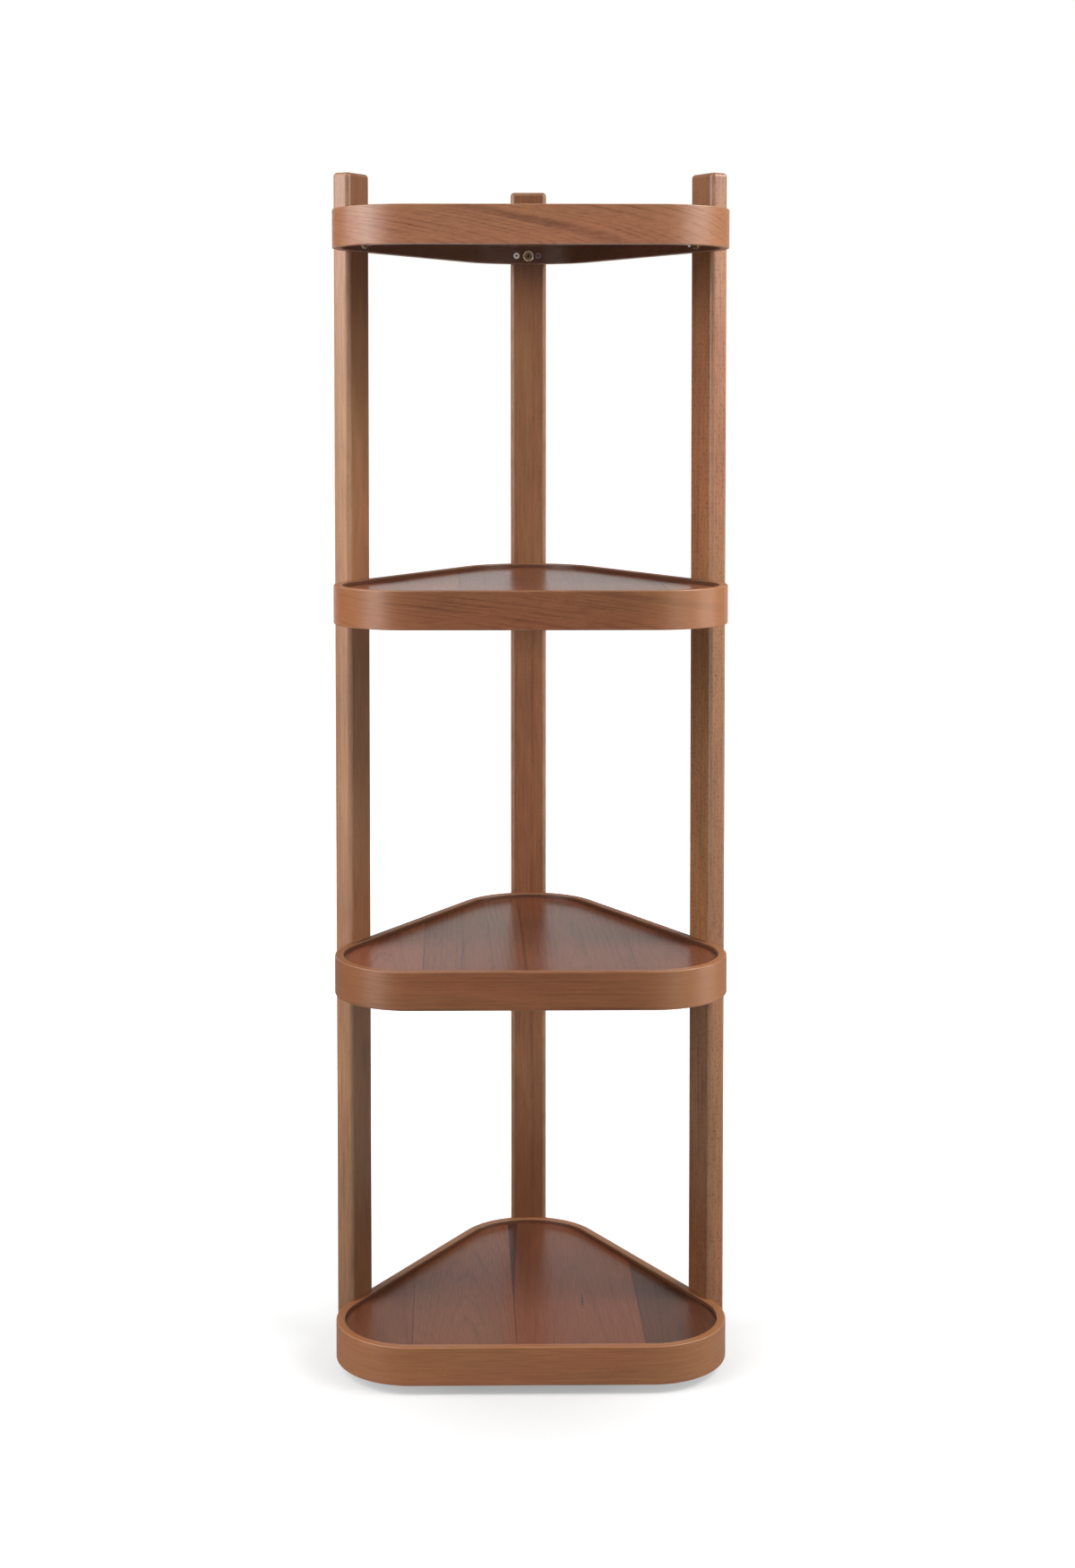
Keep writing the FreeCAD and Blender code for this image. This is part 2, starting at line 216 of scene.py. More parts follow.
def pick(kind, wanted):
    """Select only those verts, edges or faces of the piece being shaped for which wanted(one) holds."""
    bpy.ops.mesh.select_mode(type={"verts": "VERT", "edges": "EDGE", "faces": "FACE"}[kind])
    bpy.ops.mesh.select_all(action="DESELECT")
    mesh = bpy.context.object.data
    shape = bmesh.from_edit_mesh(mesh)
    for one in getattr(shape, kind):
        one.select_set(bool(wanted(one)))
    shape.select_flush_mode()
    bmesh.update_edit_mesh(mesh)


def at_level(part, *levels):
    """All of an edge's or face's points lie at one of these heights."""
    return any(all(abs(vert.co.z - z) < TINY for vert in part.verts) for z in levels)


def is_square(edge):
    """An edge's two faces meet at about a right angle, and not nearly flat."""
    return edge.calc_face_angle(0) > 1


def finish_shaping():
    """Leave edit mode with smooth rounds and truly flat flats."""
    bpy.ops.mesh.select_all(action="SELECT")
    bpy.ops.mesh.normals_make_consistent(inside=False)
    bpy.ops.object.mode_set(mode="OBJECT")
    bpy.ops.object.shade_smooth_by_angle(angle=SMOOTH_ANGLE)
    bpy.ops.object.modifier_add(type="WEIGHTED_NORMAL")
    bpy.context.object.modifiers[-1].keep_sharp = True
    bpy.ops.object.modifier_apply(modifier=bpy.context.object.modifiers[-1].name)


def turned(angle):
    """The direction at an angle in degrees, counted from +X in plan."""
    return Vector((math.cos(math.radians(angle)), math.sin(math.radians(angle)), 0))


RIM_LOW, RIM_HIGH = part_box("rim_bottom")
RIM_HEIGHT = RIM_HIGH.z - RIM_LOW.z
BEND_SPACING = RIM_HIGH.x - RIM_LOW.x - 2 * CORNER_RADIUS
BEND_OUT = BEND_SPACING / math.sqrt(3)
TRAY_MIDDLE = Vector((0, RIM_LOW.y + CORNER_RADIUS + BEND_OUT / 2, 0))
BENDS = [(TRAY_MIDDLE + turned(angle) * BEND_OUT, angle) for angle in (90, 210, 330)]
STRIP_RADIUS = CORNER_RADIUS - RIM_THICKNESS / 2
BEND_LENGTH = math.radians(120) * STRIP_RADIUS
STRIP_LENGTH = 3 * (BEND_LENGTH + BEND_SPACING)
# The strip's two ends meet behind the back post
STRIP_START = math.radians(60 + 60 / BEND_STEPS) * STRIP_RADIUS


def along_strip(point):
    """How far along the bent strip a point is, and how deep inside its outer face."""
    for count, (centre, angle) in enumerate(BENDS):
        off = Vector((point.x - centre.x, point.y - centre.y, 0))
        start = count * (BEND_LENGTH + BEND_SPACING) - STRIP_START
        bend = math.remainder(math.atan2(off.y, off.x) - math.radians(angle), 2 * math.pi)
        if abs(bend) <= math.radians(60) + TINY:
            run = start + (bend + math.radians(60)) * STRIP_RADIUS
            return run % STRIP_LENGTH, CORNER_RADIUS - off.length
        run, out = off.dot(turned(angle + 150)), off.dot(turned(angle + 60))
        if 0 <= run <= BEND_SPACING and out > 0:
            return (start + BEND_LENGTH + run) % STRIP_LENGTH, CORNER_RADIUS - out
    raise ValueError(f"{point} is off the strip")


def roundness(past, beside):
    """1 in the middle of a rounded edge and 0 at its ends, from how far a point is round it both ways."""
    return math.sin(2 * math.atan2(max(past, 0), max(beside, 0)))


def mark(piece, name, domain, values):
    """Keep a number or a place for each point or face corner of a piece, for its material."""
    kind, field = ("FLOAT", "value") if name == "worn" else ("FLOAT_VECTOR", "vector")
    piece.data.attributes.new(name, kind, domain).data.foreach_set(field, values)


def bend_rim(tray):
    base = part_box(f"rim_{tray}")[0].z
    top = base + RIM_HEIGHT
    groove = (top - PANEL_DROP - PANEL_THICKNESS - FIT, top - PANEL_DROP + FIT)
    bpy.ops.mesh.primitive_circle_add(
        vertices=3 * BEND_STEPS,
        radius=CORNER_RADIUS,
        location=TRAY_MIDDLE + Vector((0, 0, base)),
        rotation=(0, 0, math.radians(60 / BEND_STEPS)),
    )
    rim = bpy.context.object
    rim.name = f"bent_rim_{tray}"
    bpy.ops.object.transform_apply()
    start_shaping(rim)
    for centre, angle in BENDS:
        out = turned(angle)
        pick("verts", lambda vert: (vert.co - TRAY_MIDDLE).xy.normalized().dot(out.xy) > 0.5)
        bpy.ops.transform.translate(value=centre - TRAY_MIDDLE)
    pick("edges", lambda edge: edge.calc_length() > BEND_SPACING / 2)
    bpy.ops.mesh.subdivide(number_cuts=SIDE_STEPS - 1)
    bpy.ops.mesh.select_all(action="SELECT")
    bpy.ops.mesh.edge_face_add()
    bpy.ops.mesh.inset(thickness=RIM_THICKNESS, use_even_offset=True)
    bpy.ops.mesh.delete(type="ONLY_FACE")
    bpy.ops.mesh.select_all(action="SELECT")
    for rise in (groove[0] - base, groove[1] - groove[0], top - groove[1]):
        bpy.ops.mesh.extrude_region_move(TRANSFORM_OT_translate={"value": (0, 0, rise)})
    bpy.ops.mesh.select_all(action="SELECT")
    bpy.ops.mesh.normals_make_consistent(inside=False)

    def groove_wall(face):
        middle = face.calc_center_median()
        return groove[0] < middle.z < groove[1] and along_strip(middle)[1] > RIM_THICKNESS / 2

    pick("faces", groove_wall)
    bpy.ops.mesh.extrude_region_shrink_fatten(
        TRANSFORM_OT_shrink_fatten={"value": -GROOVE_DEPTH, "use_even_offset": True}
    )
    pick("edges", lambda edge: at_level(edge, base, top) and is_square(edge))
    bpy.ops.mesh.bevel(offset=RIM_EDGE_ROUND, segments=3, affect="EDGES")
    finish_shaping()
    places = []
    for face in rim.data.polygons:
        middle = along_strip(face.center)[0]
        for corner in face.loop_indices:
            point = rim.data.vertices[rim.data.loops[corner].vertex_index].co
            run, depth = along_strip(point)
            run = middle + math.remainder(run - middle, STRIP_LENGTH)
            places += (run - STRIP_LENGTH / 2, point.z - base, depth)
    mark(rim, "grain", "CORNER", places)
    rounds = []
    for vert in rim.data.vertices:
        depth = along_strip(vert.co)[1]
        depth = min(depth, RIM_THICKNESS - depth)
        height = min(vert.co.z - base, top - vert.co.z)
        rounds.append(roundness(RIM_EDGE_ROUND - height, RIM_EDGE_ROUND - depth))
    mark(rim, "worn", "POINT", rounds)
    return rim


# How often each figure of the wood comes in a metre, along the grain and across it
RING_WANDER = (2.6, 15, 15)
RING_FADE = (7, 60, 60)
FIBRES = (22, 600, 600)
PORES = (210, 820, 820)
STAIN_PATCHES = (4.5, 19, 19)
STAIN_WARMTH = (3, 14, 14)
# How dark the wood is where one year ring ends, and on the way to the next
RING_END = 0.45
RING_SHADES = ((0.10, 0.06), (0.50, 0.0), (0.80, 0.30), (0.94, 1.0))
# How slowly the width of the rings changes, and how much
RING_UNEVEN = 0.37
RING_CHANGE = 2.2
PORE_EDGE = (0.42, 0.22)
PORES_HIDDEN = 0.4
BARE_SHADE = 0.30
WARM_STAIN = (0.94, 1.08, 1.0)
LACQUER_CHANGE = 0.14
LACQUER_RELIEF = 0.00004


def stain_wood(name, tones, heart, rings, streaks, flecks, patches=0.5, roughness=0.38, turn=None):
    """Wood as cut from a log, under a walnut stain and a satin lacquer.

    tones are its light and dark colour. heart is the log's heart line: how far it
    lies along, across and below the piece, and how much it is tilted to it. rings
    are the gap between the year rings, how far they wander, and their strength.
    The grain follows the piece's own marks, or else lies at a turn in plan."""
    wood, tree, surface = new_finish(name)
    gap, wander, strength = rings
    *shift, tilt = heart
    if turn is None:
        where = add_node(tree, "Attribute", {}, attribute_name="grain").outputs["Vector"]
        lie = (0, tilt, 0)
    else:
        where = own_place(tree)
        lie = (tilt, 0, turn)
    log = add_node(tree, "Mapping", {"Vector": where, "Location": shift, "Rotation": lie}).outputs["Vector"]

    def stretched(often):
        return add_node(tree, "Mapping", {"Vector": log, "Scale": often}).outputs["Vector"]

    def noise(often, detail, roughness=0.5):
        settings = {"Vector": stretched(often), "Scale": 1, "Detail": detail, "Roughness": roughness}
        return add_node(tree, "TexNoise", settings).outputs["Fac"]

    # Year rings round the heart: they wander, differ in width, and fade here and there
    off = add_node(tree, "VectorMath", {0: log, 1: (0, 1, 1)}, operation="MULTIPLY").outputs["Vector"]
    radius = add_node(tree, "VectorMath", {0: off}, operation="LENGTH").outputs["Value"]
    phase = reckon(tree, "DIVIDE", radius, gap)
    phase = reckon(tree, "MULTIPLY_ADD", noise(RING_WANDER, 2), wander, phase)
    uneven = {"W": phase, "Scale": RING_UNEVEN, "Detail": 1}
    width = add_node(tree, "TexNoise", uneven, noise_dimensions="1D").outputs["Fac"]
    phase = reckon(tree, "MULTIPLY_ADD", width, RING_CHANGE, phase)
    ring = add_node(tree, "ValToRGB", {"Fac": reckon(tree, "FRACT", phase)})
    shades = ring.color_ramp.elements
    for end in shades:
        end.color = (RING_END, RING_END, RING_END, 1)
    for position, value in RING_SHADES:
        shades.new(position).color = (value, value, value, 1)
    lines = reckon(tree, "MULTIPLY", ring.outputs["Color"], rescale(tree, noise(RING_FADE, 2), 0.3, 0.62))

    # Fibres, the short dark flecks of the pores, and the stain's uneven take-up
    fibre = noise(FIBRES, 5, 0.66)
    pore = add_node(tree, "TexVoronoi", {"Vector": stretched(PORES), "Scale": 1})
    spot = rescale(tree, pore.outputs["Distance"], *PORE_EDGE)
    chance = add_node(tree, "SeparateColor", {"Color": pore.outputs["Color"]}).outputs["Red"]
    fleck = reckon(tree, "MULTIPLY", spot, reckon(tree, "GREATER_THAN", chance, PORES_HIDDEN))
    patch = noise(STAIN_PATCHES, 3, 0.55)
    dark_by = reckon(tree, "MULTIPLY_ADD", lines, strength, BARE_SHADE)
    dark_by = reckon(tree, "MULTIPLY_ADD", reckon(tree, "SUBTRACT", fibre, 0.5), streaks, dark_by)
    dark_by = reckon(tree, "MULTIPLY_ADD", reckon(tree, "SUBTRACT", patch, 0.5), patches, dark_by)
    dark_by = reckon(tree, "MULTIPLY_ADD", fleck, flecks, dark_by, use_clamp=True)
    golden = rescale(tree, noise(STAIN_WARMTH, 3), 0.36, 0.64)
    stain = blend(tree, golden, blend(tree, dark_by, *tones), WARM_STAIN, blend_type="MULTIPLY")
    tree.links.new(stain, surface.inputs["Base Color"])

    rough = reckon(tree, "MULTIPLY_ADD", fibre, LACQUER_CHANGE, roughness - LACQUER_CHANGE / 2)
    tree.links.new(rough, surface.inputs["Roughness"])
    relief = {"Height": dark_by, "Strength": 0.35, "Distance": LACQUER_RELIEF}
    tree.links.new(add_node(tree, "Bump", relief, invert=True).outputs["Normal"], surface.inputs["Normal"])
    return wood


def lay_over(wood, mask, colour):
    """Lay another colour over a wood, as far as the mask says."""
    tree = wood.node_tree
    base = tree.nodes["Principled BSDF"].inputs["Base Color"]
    tree.links.new(blend(tree, mask, base.links[0].from_socket, colour), base)


def speckle(tree, often, detail, roughness=0.5):
    """Fine unevenness all over a piece, so often in a metre."""
    settings = {"Vector": own_place(tree), "Scale": often, "Detail": detail, "Roughness": roughness}
    return add_node(tree, "TexNoise", settings).outputs["Fac"]


# Paler wood on the rounded edges: real wear, and a painted highlight along them as well
WORN_AND_HIGHLIGHT_TONE = (0.62, 0.42, 0.28)


def rub_and_highlight_edges(wood, amount):
    """Rounded edges take less stain and are rubbed paler in use; the same paler colour also paints a
    highlight along them.
    """
    tree = wood.node_tree
    worn = add_node(tree, "Attribute", {}, attribute_name="worn").outputs["Fac"]
    uneven = rescale(tree, speckle(tree, 45, 3), 0.3, 0.7, 0.4 * amount, amount)
    lay_over(wood, reckon(tree, "MULTIPLY", worn, uneven), WORN_AND_HIGHLIGHT_TONE)


def toned(tones, change):
    """The same two stain tones, each of their red, green and blue changed this much."""
    return [[part * by for part, by in zip(tone, change)] for tone in tones]


RIM_TONES = ((0.347, 0.125, 0.055), (0.127, 0.038, 0.0158))
# Painted shade on the rims' inner walls: its colour and how strongly it darkens them
PAINTED_SHADE_INSIDE_TONE = (0.060, 0.020, 0.010)
PAINTED_SHADE_INSIDE_AMOUNT = 0.75
# Painted light on the rims' left and right bends: its colour, and how far from a bend's middle it fades
PAINTED_BEND_LIGHT_TONE = (0.49, 0.210, 0.084)
PAINTED_BEND_LIGHT_REACH = (0.03, 0.13)
RIM_RUB_AND_HIGHLIGHT = 0.25
# Change of tone, heart line, year rings, and how much painted light lies on the left and the right bend
RIM_FIGURES = {
    "top": ((1.01, 1.15, 1.31), (0, 0.035, 0.10, -0.14), (0.0032, 2.0, 0.55), (0, 0.12)),
    "upper": ((0.73, 0.70, 0.69), (0.05, 0.045, 0.09, -0.11), (0.0036, 2.0, 0.55), (0.26, 0.42)),
    "lower": ((0.74, 0.71, 0.64), (0.1, 0.12, 0.03, 0.012), (0.0034, 2.2, 0.50), (0.12, 0.42)),
    "bottom": ((0.98, 0.98, 0.86), (0.2, 0.16, 0.02, 0.006), (0.0024, 1.6, 0.36), (0.12, 0.22)),
}


def strip_place(tree):
    """How far along the strip, above its lower edge and inside its outer face a point is."""
    grain = add_node(tree, "Attribute", {}, attribute_name="grain").outputs["Vector"]
    return add_node(tree, "SeparateXYZ", {"Vector": grain}).outputs


def paint_shade_inside_rim(wood, amount):
    """Painted shade darkens a rim's inner wall and its groove."""
    tree = wood.node_tree
    depth = strip_place(tree)["Z"]
    mask = rescale(tree, depth, RIM_THICKNESS - RIM_EDGE_ROUND, RIM_THICKNESS, 0, amount)
    lay_over(wood, mask, PAINTED_SHADE_INSIDE_TONE)


def paint_light_on_bend(wood, count, amount):
    """Painted light that lightens a bend of the strip where a highlight falls, counted round from the back
    one.
    """
    tree = wood.node_tree
    start = count * (BEND_LENGTH + BEND_SPACING) - STRIP_START - STRIP_LENGTH / 2
    off = reckon(tree, "SUBTRACT", strip_place(tree)["X"], start + BEND_LENGTH / 2)
    off = reckon(tree, "ABSOLUTE", off)
    mask = rescale(tree, off, *PAINTED_BEND_LIGHT_REACH, amount, 0, interpolation_type="SMOOTHSTEP")
    lay_over(wood, mask, PAINTED_BEND_LIGHT_TONE)


for tray in TRAYS:
    rim = bend_rim(tray)
    change, heart, rings, bend_light_amounts = RIM_FIGURES[tray]
    wood = stain_wood(f"rim_stain_{tray}", toned(RIM_TONES, change), heart, rings, streaks=1.15, flecks=0.1)
    # Painted light on the left and the right bend
    for count, amount in enumerate(bend_light_amounts, start=1):
        paint_light_on_bend(wood, count, amount)
    # Painted shade on the inner wall and in the groove
    paint_shade_inside_rim(wood, PAINTED_SHADE_INSIDE_AMOUNT)
    # Rubbed edges, with a painted highlight along them
    rub_and_highlight_edges(wood, RIM_RUB_AND_HIGHLIGHT)
    rim.data.materials.append(wood)
    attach(rim, "root")
    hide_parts(f"rim_{tray}")


# Panels. Four edge-glued staves fill each tray, their grain running from front
# to back at a slight slant. Every stave came from another board, so each has
# its own tone and figure.
STAVE_SLANT = math.radians(1.5)
STAVE_RING_GAP = 0.0045
STAVE_RING_WANDER = 1.8
# Each board comes from another length of the log than its neighbours
TRAY_STEP = 0.7
STAVE_STEP = 0.4
PANEL_TONES = ((0.227, 0.070, 0.034), (0.076, 0.0225, 0.011))
# Tone, redness, how far below its heart lay, its tilt, and the strength of the figure
STAVES = {
    "bottom": (
        (0.78, 1.02, 0.06, 0.02, 0.30),
        (0.93, 0.98, 0.035, 0.06, 0.26),
        (0.90, 1.02, 0.09, 0.02, 0.25),
        (0.50, 0.92, 0.02, 0.01, 0.35),
    ),
    "lower": (
        (1.10, 1.03, 0.07, 0.02, 0.35),
        (0.81, 1.04, 0.015, 0.01, 0.75),
        (0.82, 1.0, 0.02, 0.012, 0.55),
        (0.84, 1.0, 0.03, 0.03, 0.35),
    ),
    "upper": (
        (1.10, 1.0, 0.05, 0.03, 0.35),
        (0.84, 1.0, 0.03, 0.01, 0.45),
        (0.80, 1.0, 0.07, 0.02, 0.35),
        (1.10, 1.0, 0.04, 0.03, 0.35),
    ),
    "top": (
        (1.0, 1.0, 0.04, 0.02, 0.35),
        (0.85, 1.0, 0.06, 0.03, 0.35),
        (0.95, 1.03, 0.03, 0.01, 0.45),
        (0.85, 1.0, 0.05, 0.02, 0.35),
    ),
}
SEAM_WIDTH = 0.0008
SEAM_STRENGTH = 0.7
DARK_GRAIN = (0.030, 0.012, 0.008)
# The one stave with a dark wedge and a long fleck in its grain. A wedge is where it
# starts, how fast it opens, how soft its side is, its strength and its colour.
MARKED_STAVE = "stave_bottom_3"
WEDGES = (
    (0.02, 0.30, 0.012, 0.70, (0.095, 0.031, 0.016)),
    (-0.09, 0.0435, 0.0015, 0.75, DARK_GRAIN),
)
FLECK_PLACE = (0.061, -0.07)
FLECK_SIZE = (0.0018, 0.028, 0.01)


def from_seams(wood, stave):
    """How far a point of a stave is from its left and its right long edge."""
    tree = wood.node_tree
    across = Vector((1, math.tan(STAVE_SLANT), 0))
    ends = [across.dot(vert.co) for vert in stave.data.vertices]
    product = add_node(tree, "VectorMath", {0: own_place(tree), 1: across}, operation="DOT_PRODUCT")
    at = product.outputs["Value"]
    return reckon(tree, "SUBTRACT", at, min(ends)), reckon(tree, "SUBTRACT", max(ends), at)


def draw_seams(wood, stave):
    """The glue joints show as fine dark lines."""
    near = reckon(wood.node_tree, "MINIMUM", *from_seams(wood, stave))
    lay_over(wood, rescale(wood.node_tree, near, 0, SEAM_WIDTH, SEAM_STRENGTH, 0), DARK_GRAIN)


def draw_wedge(wood, stave):
    """A dark streak of grain opens towards the back beside the left joint, with redder wood next to it."""
    tree = wood.node_tree
    left, _ = from_seams(wood, stave)
    deep = add_node(tree, "SeparateXYZ", {"Vector": own_place(tree)}).outputs["Y"]
    for start, spread, soft, strength, colour in WEDGES:
        width = reckon(tree, "MULTIPLY_ADD", deep, spread, -start * spread)
        past = reckon(tree, "SUBTRACT", left, width)
        lay_over(wood, rescale(tree, past, -soft, soft / 2, strength, 0), colour)


def draw_fleck(wood, centre, size):
    """One long dark fleck in the grain."""
    tree = wood.node_tree
    ragged = rescale(tree, speckle(tree, 180, 2), 0.35, 0.6)
    settings = {"Vector": own_place(tree), "Scale": [1 / part for part in size]}
    settings["Location"] = [-middle / part for middle, part in zip(centre, size)]
    spot = add_node(tree, "Mapping", settings).outputs["Vector"]
    spot = add_node(tree, "TexGradient", {"Vector": spot}, gradient_type="SPHERICAL").outputs["Fac"]
    lay_over(wood, reckon(tree, "MULTIPLY", rescale(tree, spot, 0, 0.4), ragged), DARK_GRAIN)


for row, tray in enumerate(TRAYS):
    for column, (tone, red, deep, tilt, strength) in enumerate(STAVES[tray]):
        name = f"stave_{tray}_{column + 1}"
        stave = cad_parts[name]
        low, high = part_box(name)
        wood = stain_wood(
            f"stave_stain_{tray}_{column + 1}",
            toned(PANEL_TONES, (tone * red, tone, tone)),
            (TRAY_STEP * row + STAVE_STEP * column, -(low.x + high.x) / 2, deep - low.z, tilt),
            (STAVE_RING_GAP, STAVE_RING_WANDER, strength),
            streaks=0.9,
            flecks=0.15,
            roughness=0.42,
            turn=math.pi / 2 - STAVE_SLANT,
        )
        if name == MARKED_STAVE:
            draw_wedge(wood, stave)
            draw_fleck(wood, (*FLECK_PLACE, high.z), FLECK_SIZE)
        draw_seams(wood, stave)
        lacquer = wood.node_tree.nodes["Principled BSDF"]
        lacquer.inputs["Specular IOR Level"].default_value = 0.1
        lacquer.inputs["Coat Weight"].default_value = 0.8
        lacquer.inputs["Coat Roughness"].default_value = 0.27
        stave.data.materials.clear()
        stave.data.materials.append(wood)


# Posts. Three flat bars of solid beech with generously rounded edges and tops.
# Every rim is let 4 mm into a notch, which is curved where it meets the back
# bend of the trays.
SIDES = ("left", "right", "back")
POST_WIDTH = 0.045
POST_THICKNESS = 0.023
POST_EDGE_ROUND = 0.0055
POST_TOP_ROUND = 0.0045
POST_FOOT_BEVEL = 0.001
NOTCH_DEPTH = 0.004
POST_TURNS = {"left": 60, "right": -60, "back": 0}


def post_frame(side):
    """A post's middle in plan, turned so that its own +Y points out of the trays."""
    low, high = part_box(f"post_{side}")
    middle = Vector(((low.x + high.x) / 2, (low.y + high.y) / 2, 0))
    return Matrix.Translation(middle) @ Matrix.Rotation(math.radians(POST_TURNS[side]), 4, "Z")


def place(piece, matrix):
    """Put a piece's mesh in place, and leave its object at the origin."""
    piece.data.transform(matrix)
    piece.data.update()


def cut(piece, tool):
    """Cut the tool's shape out of the piece, and take the tool away."""
    bpy.ops.object.select_all(action="DESELECT")
    bpy.context.view_layer.objects.active = piece
    piece.select_set(True)
    bpy.ops.object.modifier_add(type="BOOLEAN")
    piece.modifiers[-1].object = tool
    piece.modifiers[-1].solver = "EXACT"
    bpy.ops.object.modifier_apply(modifier=piece.modifiers[-1].name)
    bpy.data.objects.remove(tool)


def join(pieces):
    bpy.ops.object.select_all(action="DESELECT")
    for piece in pieces:
        piece.select_set(True)
    bpy.context.view_layer.objects.active = pieces[0]
    bpy.ops.object.join()
    return pieces[0]


def notch_tool(side):
    """The rims' outer walls, as they pass through the post's own frame."""
    tools = []
    inner_face = -POST_THICKNESS / 2
    for tray in TRAYS:
        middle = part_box(f"rim_{tray}")[0].z + RIM_HEIGHT / 2
        if side == "back":
            bpy.ops.mesh.primitive_cylinder_add(
                vertices=3 * BEND_STEPS,
                radius=CORNER_RADIUS + FIT,
                depth=RIM_HEIGHT + 2 * FIT,
                location=(0, inner_face + NOTCH_DEPTH - CORNER_RADIUS, middle),
                rotation=(0, 0, math.radians(60 / BEND_STEPS)),
            )
        else:
            bpy.ops.mesh.primitive_cube_add(
                size=1,
                location=(0, inner_face, middle),
                scale=(2 * POST_WIDTH, 2 * (NOTCH_DEPTH + FIT), RIM_HEIGHT + 2 * FIT),
            )
        bpy.ops.object.transform_apply()
        tools.append(bpy.context.object)
    return join(tools)


def shape_post(side):
    low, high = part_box(f"post_{side}")
    height = high.z - low.z
    bpy.ops.mesh.primitive_cube_add(
        size=1, location=(0, 0, low.z + height / 2), scale=(POST_WIDTH, POST_THICKNESS, height)
    )
    bpy.ops.object.transform_apply()
    post = bpy.context.object
    post.name = f"rounded_post_{side}"
    start_shaping(post)
    pick("edges", lambda edge: edge.calc_length() > height / 2)
    bpy.ops.mesh.bevel(offset=POST_EDGE_ROUND, segments=8, affect="EDGES")
    pick("edges", lambda edge: at_level(edge, high.z))
    bpy.ops.mesh.bevel(offset=POST_TOP_ROUND, segments=6, affect="EDGES")
    pick("edges", lambda edge: at_level(edge, low.z))
    bpy.ops.mesh.bevel(offset=POST_FOOT_BEVEL, segments=1, affect="EDGES")
    bpy.ops.object.mode_set(mode="OBJECT")
    cut(post, notch_tool(side))
    start_shaping(post)
    finish_shaping()
    places, rounds = [], []
    for vert in post.data.vertices:
        x, y, z = vert.co
        places += (z, x, y)
        aside, deep = abs(x) - POST_WIDTH / 2, abs(y) - POST_THICKNESS / 2
        upright = roundness(aside + POST_EDGE_ROUND, deep + POST_EDGE_ROUND)
        level = roundness(z - high.z + POST_TOP_ROUND, max(aside, deep) + POST_TOP_ROUND)
        rounds.append(max(upright, level))
    mark(post, "grain", "POINT", places)
    mark(post, "worn", "POINT", rounds)
    place(post, post_frame(side))
    return post


POST_TONES = ((0.37, 0.139, 0.063), (0.128, 0.042, 0.018))
POST_RINGS = (0.0034, 1.2, 0.30)
POST_STEP = 0.9
POST_TILT = 0.004
POST_RUB_AND_HIGHLIGHT = 0.22
# Where the heart lay aside and behind, how dark the pores are, and the change of tone
POST_FIGURES = {
    "left": (0.09, 0.04, 0.15, (0.97, 1.12, 1.17)),
    "right": (0.03, 0.10, 0.7, (0.99, 1.05, 1.02)),
    "back": (0.12, 0.03, 0.2, (0.72, 0.74, 0.76)),
}
# Painted shade on a post's inner face, under the top tray and above the bottom one, starts and is full at
# these heights and depths
PAINTED_SHADE_POST_TONE = (0.095, 0.029, 0.012)
SHADE_AMOUNT = 0.40
SHADE_HIGH = (1.19, 1.27)
SHADE_LOW = (0.26, 0.13)
SHADE_DEPTH = (0.008 - POST_THICKNESS / 2, 0.001 - POST_THICKNESS / 2)


def paint_shade_at_post_ends(wood, amount):
    """Painted shade darkens a post's inner face just under the top tray and just above the bottom tray."""
    tree = wood.node_tree
    grain = add_node(tree, "Attribute", {}, attribute_name="grain").outputs["Vector"]
    height, _, depth = add_node(tree, "SeparateXYZ", {"Vector": grain}).outputs
    ends = [rescale(tree, height, *reach, 0, amount) for reach in (SHADE_HIGH, SHADE_LOW)]
    inner = rescale(tree, depth, *SHADE_DEPTH)
    mask = reckon(tree, "MULTIPLY", reckon(tree, "MAXIMUM", *ends), inner)
    lay_over(wood, mask, PAINTED_SHADE_POST_TONE)


for count, side in enumerate(SIDES):
    post = shape_post(side)
    aside, deep, flecks, change = POST_FIGURES[side]
    wood = stain_wood(
        f"post_stain_{side}",
        toned(POST_TONES, change),
        (POST_STEP * count, aside, deep, POST_TILT),
        POST_RINGS,
        streaks=1.4,
        flecks=flecks,
        patches=1.0,
    )
    # Painted shade on the inner face near the top and the bottom tray
    paint_shade_at_post_ends(wood, SHADE_AMOUNT)
    # Rubbed edges, with a painted highlight along them
    rub_and_highlight_edges(wood, POST_RUB_AND_HIGHLIGHT)
    post.data.materials.append(wood)
    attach(post, "root")
    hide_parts(f"post_{side}")


# Connector bolts. A flat antique-brass head with a sunk face and a hexagon
# socket bears on the inside of the rim, and draws into an insert in the post.
BOLT_LEVEL = 0.0105
BOLT_HEAD_RADIUS = 0.007
BOLT_HEAD_HEIGHT = 0.0022
BOLT_EDGE_ROUND = 0.0006
BOLT_SHANK_RADIUS = 0.003
BOLT_LENGTH = 0.022
BOLT_TIP_BEVEL = 0.0008
BOLT_FACE_RADIUS = 0.0046
BOLT_FACE_SINK = 0.0006
HEX_KEY = 0.004
HEX_DEPTH = 0.0026
INNER_RADIUS = CORNER_RADIUS - RIM_THICKNESS


def wall_frame(tray, side, offset):
    """Where a fastener meets the rim's inner wall, turned so that its own +Z looks into the tray."""
    aside, turn = offset, 0.0
    deep = NOTCH_DEPTH - POST_THICKNESS / 2 - RIM_THICKNESS
    if side == "back":
        turn = math.asin(offset / INNER_RADIUS)
        deep -= INNER_RADIUS * (1 - math.cos(turn))
    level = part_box(f"rim_{tray}")[0].z + BOLT_LEVEL
    facing = Matrix.Rotation(-turn, 4, "Z") @ Matrix.Rotation(math.pi / 2, 4, "X")
    return post_frame(side) @ Matrix.Translation((aside, deep, level)) @ facing


